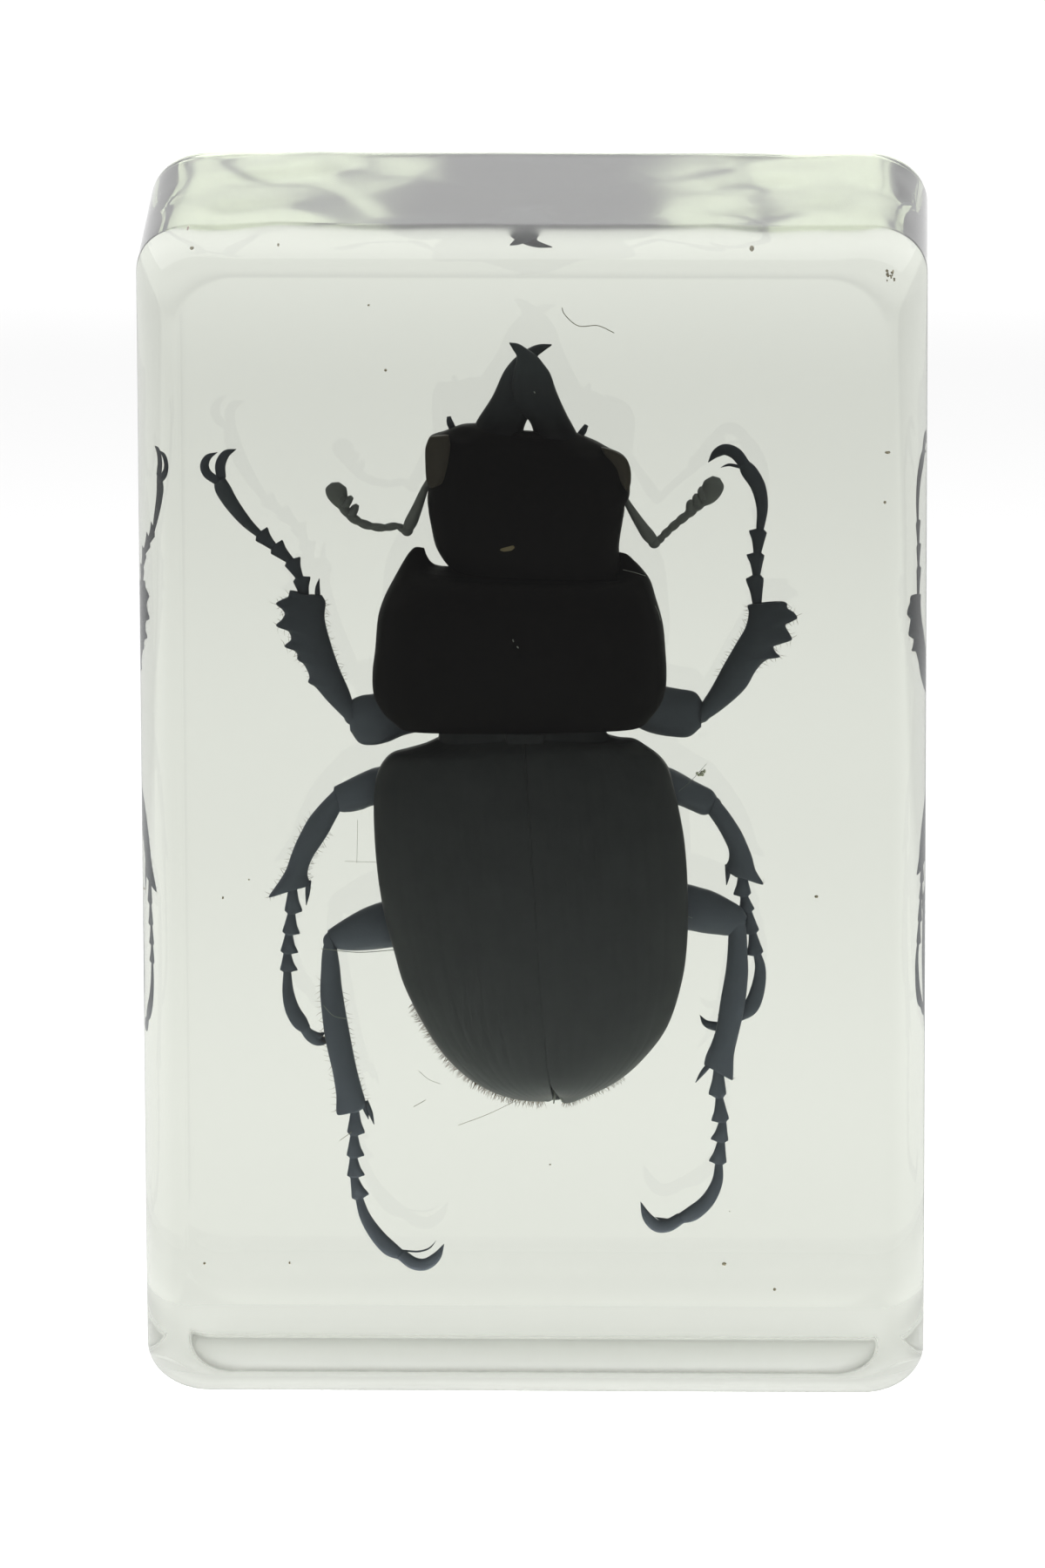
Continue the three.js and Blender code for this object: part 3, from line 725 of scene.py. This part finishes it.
def foot_edges(nodes, side):
    """Saw-toothed edges of the foot: from joint A to joint B, A + share * (B - A) -+ distance * normal."""
    a = np.asarray(nodes[:-1], float)[:, None, :]
    b = np.asarray(nodes[1:], float)[:, None, :]
    way = (b - a) / np.linalg.norm(b - a, axis=2, keepdims=True)
    normal = side * np.stack([way[..., 1], -way[..., 0]], axis=-1)
    middle = a + (b - a) * FOOT_SHARES[None, :, None]
    plain_edge = (middle - normal * FOOT_PLAIN[None, :, None]).reshape(-1, 2)
    lobed_edge = (middle + normal * FOOT_LOBED[None, :, None]).reshape(-1, 2)
    return plain_edge, lobed_edge


def leg(name, plan):
    """Thigh and shin as blades between their edges, foot as a saw-toothed blade, claws as hooks."""
    lie = plan["lie"]
    upper, lower = plan["thigh"]
    swell = [0.5, 1.1, 1.2, 1.1, 0.8, 0.4]
    thigh = blade(upper, lower, swell, swell, [HIP_LIE, (HIP_LIE + lie) / 2, lie, lie], steps=60, around=32,
                  section=0.95)
    piece("thigh_" + name, [thigh], leg_chitin)
    near, far = plan["shin"]
    swell = [0.5, 0.6, 0.65, 0.6, 0.5, 0.25] if plan["broad"] else [0.5, 0.55, 0.55, 0.55, 0.55, 0.35]
    shin = blade(near, far, swell, swell, lie - 0.1, steps=220, around=24, section=1.0)
    knee = egg(((near[0][0] + far[0][0]) / 2, (near[0][1] + far[0][1]) / 2, lie), (0.55, 0.55, 0.5))
    spurs = [rod(deepen(path, lie, lie - 0.3), [0.17, 0.14, 0.02], steps=14, around=8)
             for path in plan["spurs"]]
    piece("shin_" + name, [shin, knee] + spurs, leg_chitin)
    plain_edge, lobed_edge = foot_edges(plan["foot"], plan["lobes"])
    segments = len(plan["foot"]) - 1
    swell = 0.12 + 0.1 * np.sin(np.pi * np.tile(FOOT_SHARES, segments)) ** 0.5
    chain = [blade(plain_edge, lobed_edge, swell, swell, lie, steps=40 * segments, around=14, section=1.0,
                   even=True)]
    claw_lie = plan["claw_lie"]
    chain.append(rod(deepen(plan["last"], lie, claw_lie), [0.22, 0.3, 0.38, 0.44, 0.46, 0.3], flat=0.5,
                     steps=36, around=16))
    for path, radius, tip_lie in plan["claws"]:
        radii = radius * np.array([0.9, 1.0, 0.95, 0.7, 0.04])
        chain.append(rod(deepen(path, claw_lie, tip_lie), radii, flat=0.55, steps=36, around=12))
    piece("foot_" + name, chain, leg_chitin)


for leg_name, leg_plan in LEGS.items():
    leg(leg_name, leg_plan)

# ---------------------------------------------------------------- feelers
FEELER_LIE = 2.2
CLUB_RADII = [0.24, 0.42, 0.55, 0.61, 0.57, 0.24]


def feeler(stalk, thread, leaves, club):
    """Bent feeler: a stalk thickening to its elbow, a thread of six beads, three leaves and an end club.
    The thread's radius is 0.17 + 0.05 * |sin| along six beads, growing towards the club."""
    beads = 0.17 + 0.08 * np.linspace(0, 1, 37) + 0.05 * np.abs(np.sin(np.linspace(0, 6 * np.pi, 37)))
    skins = [rod(deepen(stalk, 1.9, FEELER_LIE), [0.18, 0.2, 0.26, 0.32, 0.37, 0.3], steps=30),
             rod(deepen(thread, FEELER_LIE, FEELER_LIE), beads, steps=80),
             rod(deepen(club, FEELER_LIE, FEELER_LIE), CLUB_RADII, flat=0.7, steps=24, around=18),
             egg((stalk[-1][0], stalk[-1][1], FEELER_LIE), (0.36, 0.36, 0.34), 14, 16)]
    skins += [rod(deepen(leaf, FEELER_LIE, FEELER_LIE), [0.26, 0.26, 0.23, 0.12], flat=1.6, steps=14)
              for leaf in leaves]
    return skins


piece("feeler_left", feeler(
    [(-5.2, 17.6), (-5.55, 17.0), (-6.0, 15.9), (-6.35, 15.1), (-6.6, 14.6)],
    [(-6.7, 14.5), (-7.1, 14.8), (-8.0, 14.72), (-9.0, 14.9), (-9.8, 15.35), (-10.35, 16.0)],
    [[(-9.8, 15.4), (-9.6, 15.8), (-9.44, 16.02)], [(-10.2, 15.9), (-9.97, 16.25), (-9.74, 16.48)],
     [(-10.5, 16.4), (-10.3, 16.7), (-10.15, 16.8)]],
    [(-10.25, 15.85), (-10.5, 16.4), (-10.66, 16.85), (-10.7, 17.28)]), feeler_chitin)
piece("feeler_right", feeler(
    [(5.75, 16.6), (6.1, 16.0), (6.7, 15.05), (7.2, 14.35), (7.55, 13.95)],
    [(7.75, 13.95), (8.1, 14.35), (8.8, 15.0), (9.6, 15.65), (10.3, 16.25)],
    [[(9.6, 15.75), (9.62, 16.15), (9.68, 16.35)], [(10.0, 16.05), (9.95, 16.45), (9.95, 16.7)],
     [(10.35, 16.4), (10.25, 16.85), (10.25, 17.1)]],
    [(10.25, 16.15), (10.65, 16.6), (10.9, 17.1), (11.08, 17.65)]), feeler_chitin)

# ---------------------------------------------------------------- bristles and what else is sealed in
def bristle_row(margin, start, end, count, length, spread, lie, outward):
    """Roots along one stretch of a plan edge, tips outward and backward by about `length` mm."""
    t = np.linspace(start, end, count)
    root = flow(margin, t)
    along = np.gradient(root, axis=0)
    along /= np.linalg.norm(along, axis=1)[:, None]
    out = outward * np.stack([along[:, 1], -along[:, 0]], axis=1)
    reach = length * rng.uniform(0.6, 1.2, (count, 1))
    tip = root + out * reach + along * reach * rng.uniform(-spread, spread, (count, 1))
    depth = lie + rng.uniform(-0.2, 0.2, count)
    return place(root, depth, 0.0), place(tip, depth, rng.uniform(-0.15, 0.15, count))


def bristles(name, rows, thickness, material):
    """Joined bristles of several rows in one mesh."""
    roots = np.concatenate([row[0] for row in rows])
    tips = np.concatenate([row[1] for row in rows])
    radii = thickness * rng.uniform(0.7, 1.2, len(roots))
    piece(name, [hairs(roots, tips, radii, rng.uniform(-0.12, 0.12, len(roots)))], material)


bristles("tail_bristles", [
    bristle_row(case_left, 0.66, 0.99, 260, 0.42, 0.5, BODY_LIE + 0.3, 1),
    bristle_row(case_right, 0.84, 0.99, 70, 0.3, 0.5, BODY_LIE + 0.3, -1)], 0.017, hair_keratin)
shin_rows = []
for plan in LEGS.values():
    shin_edges = plan["shin"]
    turn_over = -1 if shin_edges[0][0][0] > 0 else 1
    for margin, outward in zip(shin_edges, (turn_over, -turn_over)):
        shin_rows.append(bristle_row(margin, 0.25, 0.9, 26, 0.32, 0.9, plan["lie"] - 0.1, outward))
bristles("shin_bristles", shin_rows, 0.014, hair_keratin)
bristles("shield_bristles", [
    bristle_row(shield_left, 0.06, 0.95, 60, 0.22, 0.4, BODY_LIE + 0.5, -1),
    bristle_row(shield_right, 0.06, 0.95, 60, 0.22, 0.4, BODY_LIE + 0.5, 1),
    bristle_row(head_left, 0.3, 0.95, 30, 0.2, 0.6, BODY_LIE + 0.5, -1)], 0.012, hair_keratin)

# Two pale dry flakes at the very tail.
TAIL_FLAKES = [([(1.75, -17.5, 0.6), (1.85, -17.9, 0.5), (1.8, -18.35, 0.5)], 0.07),
               ([(2.0, -17.7, 0.5), (2.2, -18.0, 0.5), (2.35, -18.3, 0.5)], 0.06)]
piece("tail_flakes", [rod(path, [radius, radius, radius / 2], steps=10, around=6)
                      for path, radius in TAIL_FLAKES], pale_hair_and_glint)

# Loose fibres, as points (x, z, depth) and a radius.
FIBRES = [([(2.25, 27.05, -6.0), (2.35, 26.75, -6.0), (3.15, 26.05, -6.0), (4.3, 26.05, -6.0),
            (5.2, 25.65, -6.0)], 0.025),
          ([(-9.5, -2.0, 4.0), (-9.55, -4.5, 4.2)], 0.01), ([(-10.25, -4.4, 4.0), (-8.0, -4.45, 4.0)], 0.01),
          ([(-3.7, -19.65, 2.0), (-2.0, -19.0, 2.0), (-0.35, -18.2, 2.0)], 0.014),
          ([(-6.0, -16.5, 2.0), (-5.4, -17.0, 2.2), (-4.75, -17.25, 2.2)], 0.012),
          ([(-6.3, -18.6, 3.0), (-5.6, -18.2, 3.0)], 0.016),
          ([(-9.9, -20.1, 4.0), (-10.6, -20.6, 4.0)], 0.016)]
piece("loose_fibres", [rod(path, radius, steps=40, around=6) for path, radius in FIBRES], dull_fibre)
# Pale shed hairs that lie across the beetle, and pale strokes and dots that are painted glints on the thorax
# shield and the jaws.
SHED_HAIRS_AND_GLINTS = [([(-11.6, -9.45, 3.2), (-9.5, -9.65, 3.0), (-7.4, -9.5, 2.6)], 0.022),
        ([(-11.5, -12.75, 3.4), (-10.9, -13.35, 3.3), (-10.2, -13.5, 3.4)], 0.02),
        ([(10.6, 1.3, 4.0), (9.6, 0.2, 3.8), (9.0, -0.3, 3.8)], 0.012),
        # painted glints: two pale strokes on the right edge of the thorax shield
        ([(5.75, 12.35, 0.0), (6.4, 12.2, 0.0), (7.05, 12.0, 0.1)], 0.014),
        ([(7.6, 10.3, 0.2), (7.8, 9.9, 0.2), (7.9, 9.5, 0.3)], 0.012),
        # painted glints: pale dots on the middle of the thorax shield
        ([(-0.55, 8.35, -2.4), (-0.5, 8.2, -2.4)], 0.025),
        ([(-0.3, 7.95, -2.4), (-0.22, 7.85, -2.4)], 0.03),
        ([(8.9, -7.3, 3.4), (9.8, -7.6, 3.4)], 0.015),
        # painted glint: a pale dot on the jaws
        ([(0.66, 22.45, 0.5), (0.72, 22.35, 0.5)], 0.03)]
piece("shed_hairs_and_painted_glints", [rod(path, radius, steps=24, around=6) for path, radius in SHED_HAIRS_AND_GLINTS], pale_hair_and_glint)

# Specks of dust: plan place x, z, depth and size.
SPECKS = [(-8.7, 27.15, -7.0, 0.09), (-7.75, 23.5, -7.0, 0.07), (12.95, 29.6, -9.0, 0.12),
          (16.85, -6.3, -4.0, 0.09), (20.6, 18.9, -10.6, 0.1), (20.5, 16.1, -10.6, 0.08),
          (-15.7, -5.45, -3.0, 0.07), (-17.2, -6.5, -3.0, 0.09), (-18.3, -27.55, -9.0, 0.1),
          (-13.4, -27.5, -9.0, 0.08), (-18.6, 29.9, -9.8, 0.09), (-13.8, 29.75, -9.0, 0.08),
          (14.5, -28.9, -9.5, 0.08), (11.6, -27.45, -9.0, 0.1), (1.6, -21.9, 1.0, 0.06),
          (12.0, -24.6, 2.0, 0.05)]
piece("dust_specks", [egg((x, z, depth), size * rng.uniform(0.6, 1.3, 3), 8, 10)
                      for x, z, depth, size in SPECKS], dust_grit)
cluster = rng.uniform(-1, 1, (15, 2)) * (0.24, 0.32) + (20.72, 28.75)
piece("dust_cluster", [egg((x, z, -10.9), rng.uniform(0.03, 0.09, 3), 8, 10) for x, z in cluster], dust_grit)
flecks = rng.uniform(-1, 1, (7, 2)) * (0.25, 0.22) + (10.25, 0.75)
piece("resin_flecks", [egg((x, z, 3.6), rng.uniform(0.06, 0.14, 3), 10, 12) for x, z in flecks], milky_fleck)
piece("pink_stain", [egg((-18.9, 30.9, -8.5), (0.05, 0.25, 0.03), 12, 10)], pink_stain)

# ---------------------------------------------------------------- stage, light and camera
FLOOR_HALF = 40.0           # metres from the middle of the floor to its edge
FLOOR_INNER = 0.1           # metres to the edge of the small square under the block
FLOOR_GAP = 0.06 * MM       # air between the floor and the block's foot
# Light given off by the pad, by metres behind the block's middle; the studio's light comes on top of it.
PAD_REACH = 0.3
PAD_LIGHT = [(0.0, 1.05), (0.023, 0.42), (0.045, 0.4), (0.13, 0.29), (0.235, 0.17), (0.29, 0.39)]
POOL_SIDES = (0.055, 0.075)     # metres aside between which that light sinks to the pad's edge light
PAD_EDGE_LIGHT = 0.6
PATCH_SIDES = (0.0205, 0.0222)  # the patch under the block fades out between these metres aside
PATCH_ENDS = (0.0095, 0.0107)   # and between these to its front and back
PATCH_LIGHT = 2.3


def floor_stage():
    """Flat square of floor around the block, with a hair's breadth of air between the two. The block
    stands on a small middle square, which the eight large squares around it leave exact."""
    mesh = bpy.data.meshes.new("floor")
    lines = np.array([-FLOOR_HALF, -FLOOR_INNER, FLOOR_INNER, FLOOR_HALF])
    x, y = np.meshgrid(lines, lines)
    corners = np.stack([x, y, np.full_like(x, -FLOOR_GAP)], axis=-1).reshape(-1, 3)
    i, j = np.meshgrid(np.arange(3), np.arange(3), indexing="ij")
    first = (i * 4 + j).reshape(-1)
    mesh.from_pydata(corners.tolist(), [], np.stack([first, first + 1, first + 5, first + 4],
                                                    axis=-1).tolist())
    made = bpy.data.objects.new("floor", mesh)
    bpy.context.scene.collection.objects.link(made)
    # Opal light pad: matt white plastic lit from below, brighter in a soft pool behind the block.
    opal, tree = blank_material("opal acrylic light pad")
    spot = node(tree, "ShaderNodeTexCoord")
    axes = node(tree, "ShaderNodeSeparateXYZ", {}, {"Vector": spot.outputs["Object"]})
    along = node(tree, "ShaderNodeMapRange", {"From Min": 0.0, "From Max": PAD_REACH},
                 {"Value": axes.outputs["Y"]})
    aside = node(tree, "ShaderNodeMath", {"operation": "ABSOLUTE"}, {0: axes.outputs["X"]})
    endways = node(tree, "ShaderNodeMath", {"operation": "ABSOLUTE"}, {0: axes.outputs["Y"]})
    pool = node(tree, "ShaderNodeMapRange", {
        "interpolation_type": "SMOOTHSTEP", "From Min": POOL_SIDES[0], "From Max": POOL_SIDES[1],
        "To Min": 1.0, "To Max": PAD_EDGE_LIGHT}, {"Value": aside.outputs["Value"]})
    # A brighter patch just under the block, fading out at the outline of its foot.
    in_width = node(tree, "ShaderNodeMapRange", {
        "From Min": PATCH_SIDES[0], "From Max": PATCH_SIDES[1], "To Min": 1.0, "To Max": 0.0},
        {"Value": aside.outputs["Value"]})
    in_depth = node(tree, "ShaderNodeMapRange", {
        "From Min": PATCH_ENDS[0], "From Max": PATCH_ENDS[1], "To Min": PATCH_LIGHT, "To Max": 0.0},
        {"Value": endways.outputs["Value"]})
    glow = node(tree, "ShaderNodeMath", {"operation": "MULTIPLY_ADD"}, {
        0: in_width.outputs["Result"], 1: in_depth.outputs["Result"], 2: pool.outputs["Result"]})
    lit = node(tree, "ShaderNodeValToRGB", {}, {"Fac": along.outputs["Result"]})
    lit.color_ramp.interpolation = "EASE"
    for distance, _ in PAD_LIGHT[1:-1]:
        lit.color_ramp.elements.new(distance / PAD_REACH)
    for stop, (_, strength) in zip(lit.color_ramp.elements, PAD_LIGHT):
        stop.color = (strength, strength, strength, 1.0)
    shader = node(tree, "ShaderNodeBsdfPrincipled", {"Base Color": linear("#c8c8c8"), "Roughness": 0.9}, {
        "Emission Color": lit.outputs["Color"], "Emission Strength": glow.outputs["Value"]})
    node(tree, "ShaderNodeOutputMaterial", {}, {"Surface": shader.outputs["BSDF"]})
    mesh.materials.append(opal)
    made.visible_glossy = False


floor_stage()

# Soft studio: dim in front and at the sides, a pale wall behind the block with a brighter strip lamp on it,
# and below the pad's level dark in front only. The bounds are parts of the direction (x, y, z) of length 1.
FRONT_GLOW = 0.3
WALL_GLOW = 1.0
STRIP_GLOW = 0.47
STRIP_FROM, STRIP_TO = 0.17, 0.37     # sine of its lower and upper height angle
STRIP_EDGE = 0.06
BELOW_GLOW = (0.15, 1.0)              # in front and behind
# Each soft step: the axis that it runs along, where it starts and ends, and its value before and after.
STUDIO_STEPS = {
    "strip_bottom": ("Z", STRIP_FROM, STRIP_FROM + STRIP_EDGE, 0.0, STRIP_GLOW),
    "strip_top": ("Z", STRIP_TO - STRIP_EDGE, STRIP_TO, 1.0, 0.0),
    "strip_ends": ("Y", 0.8, 0.92, 0.0, 1.0),
    "wall": ("Y", -0.6, 0.4, FRONT_GLOW, WALL_GLOW),
    "below": ("Y", -0.8, 0.2, *BELOW_GLOW),
    "level": ("Z", -0.03, 0.0, 0.0, 1.0),
}
world = bpy.data.worlds.new("soft studio")
bpy.context.scene.world = world
world.use_nodes = True
sky = world.node_tree
sky.nodes.clear()
heading = node(sky, "ShaderNodeTexCoord")
axes = node(sky, "ShaderNodeSeparateXYZ", {}, {"Vector": heading.outputs["Generated"]})
step_values = {}
for name, (axis, start, end, before, after) in STUDIO_STEPS.items():
    step_values[name] = node(sky, "ShaderNodeMapRange", {
        "interpolation_type": "SMOOTHSTEP", "From Min": start, "From Max": end, "To Min": before,
        "To Max": after},
        {"Value": axes.outputs[axis]}).outputs["Result"]
strip_height = node(sky, "ShaderNodeMath", {"operation": "MULTIPLY"}, {
    0: step_values["strip_bottom"], 1: step_values["strip_top"]})
strip = node(sky, "ShaderNodeMath", {"operation": "MULTIPLY"}, {
    0: strip_height.outputs["Value"], 1: step_values["strip_ends"]})
above = node(sky, "ShaderNodeMath", {"operation": "ADD"}, {
    0: strip.outputs["Value"], 1: step_values["wall"]})
total = node(sky, "ShaderNodeMix", {"data_type": "FLOAT"}, {
    0: step_values["level"], 2: step_values["below"], 3: above.outputs["Value"]})
glow = node(sky, "ShaderNodeBackground", {"Color": linear("#ffffff")}, {"Strength": total.outputs[0]})
node(sky, "ShaderNodeOutputWorld", {}, {"Surface": glow.outputs["Background"]})


def softbox(name, centre, size, watts, turn=(0.0, 0.0, 0.0)):
    """Square lamp of size (x, y) metres that shines along its own -z; the camera doesn't see it."""
    lamp = bpy.data.lights.new(name, "AREA")
    lamp.shape = "RECTANGLE"
    lamp.size, lamp.size_y = size
    lamp.energy = watts
    made = bpy.data.objects.new(name, lamp)
    made.location = centre
    made.rotation_euler = [math.radians(angle) for angle in turn]
    made.visible_camera = False
    bpy.context.scene.collection.objects.link(made)


softbox("overhead_softbox", (0.0, 0.19, 0.27), (0.9, 0.62), 1.6)

# Camera: a little above the block and a little to the right of it.
CAMERA_TARGET = Vector((-0.847, 0.7, 34.0)) * MM
CAMERA_DISTANCE = 866.1 * MM
CAMERA_AZIMUTH = math.radians(1.535)
CAMERA_HEIGHT_ANGLE = math.radians(15.576)
CAMERA_ROLL = math.radians(-0.207)
CAMERA_LENS = 344.84

away = Vector((math.sin(CAMERA_AZIMUTH) * math.cos(CAMERA_HEIGHT_ANGLE),
               -math.cos(CAMERA_AZIMUTH) * math.cos(CAMERA_HEIGHT_ANGLE), math.sin(CAMERA_HEIGHT_ANGLE)))
camera_data = bpy.data.cameras.new("camera")
camera_data.lens = CAMERA_LENS
camera_data.sensor_width = 36.0
camera_data.clip_end = 200.0
camera = bpy.data.objects.new("camera", camera_data)
bpy.context.scene.collection.objects.link(camera)
aim = (-away).to_track_quat("-Z", "Y").to_matrix().to_4x4()
camera.matrix_world = Matrix.Translation(CAMERA_TARGET + away * CAMERA_DISTANCE) @ aim @ Matrix.Rotation(
    CAMERA_ROLL, 4, "Z")
bpy.context.scene.camera = camera

scene = bpy.context.scene
scene.view_settings.view_transform = "Standard"
scene.cycles.max_bounces = 16
scene.cycles.transmission_bounces = 12
scene.cycles.glossy_bounces = 12
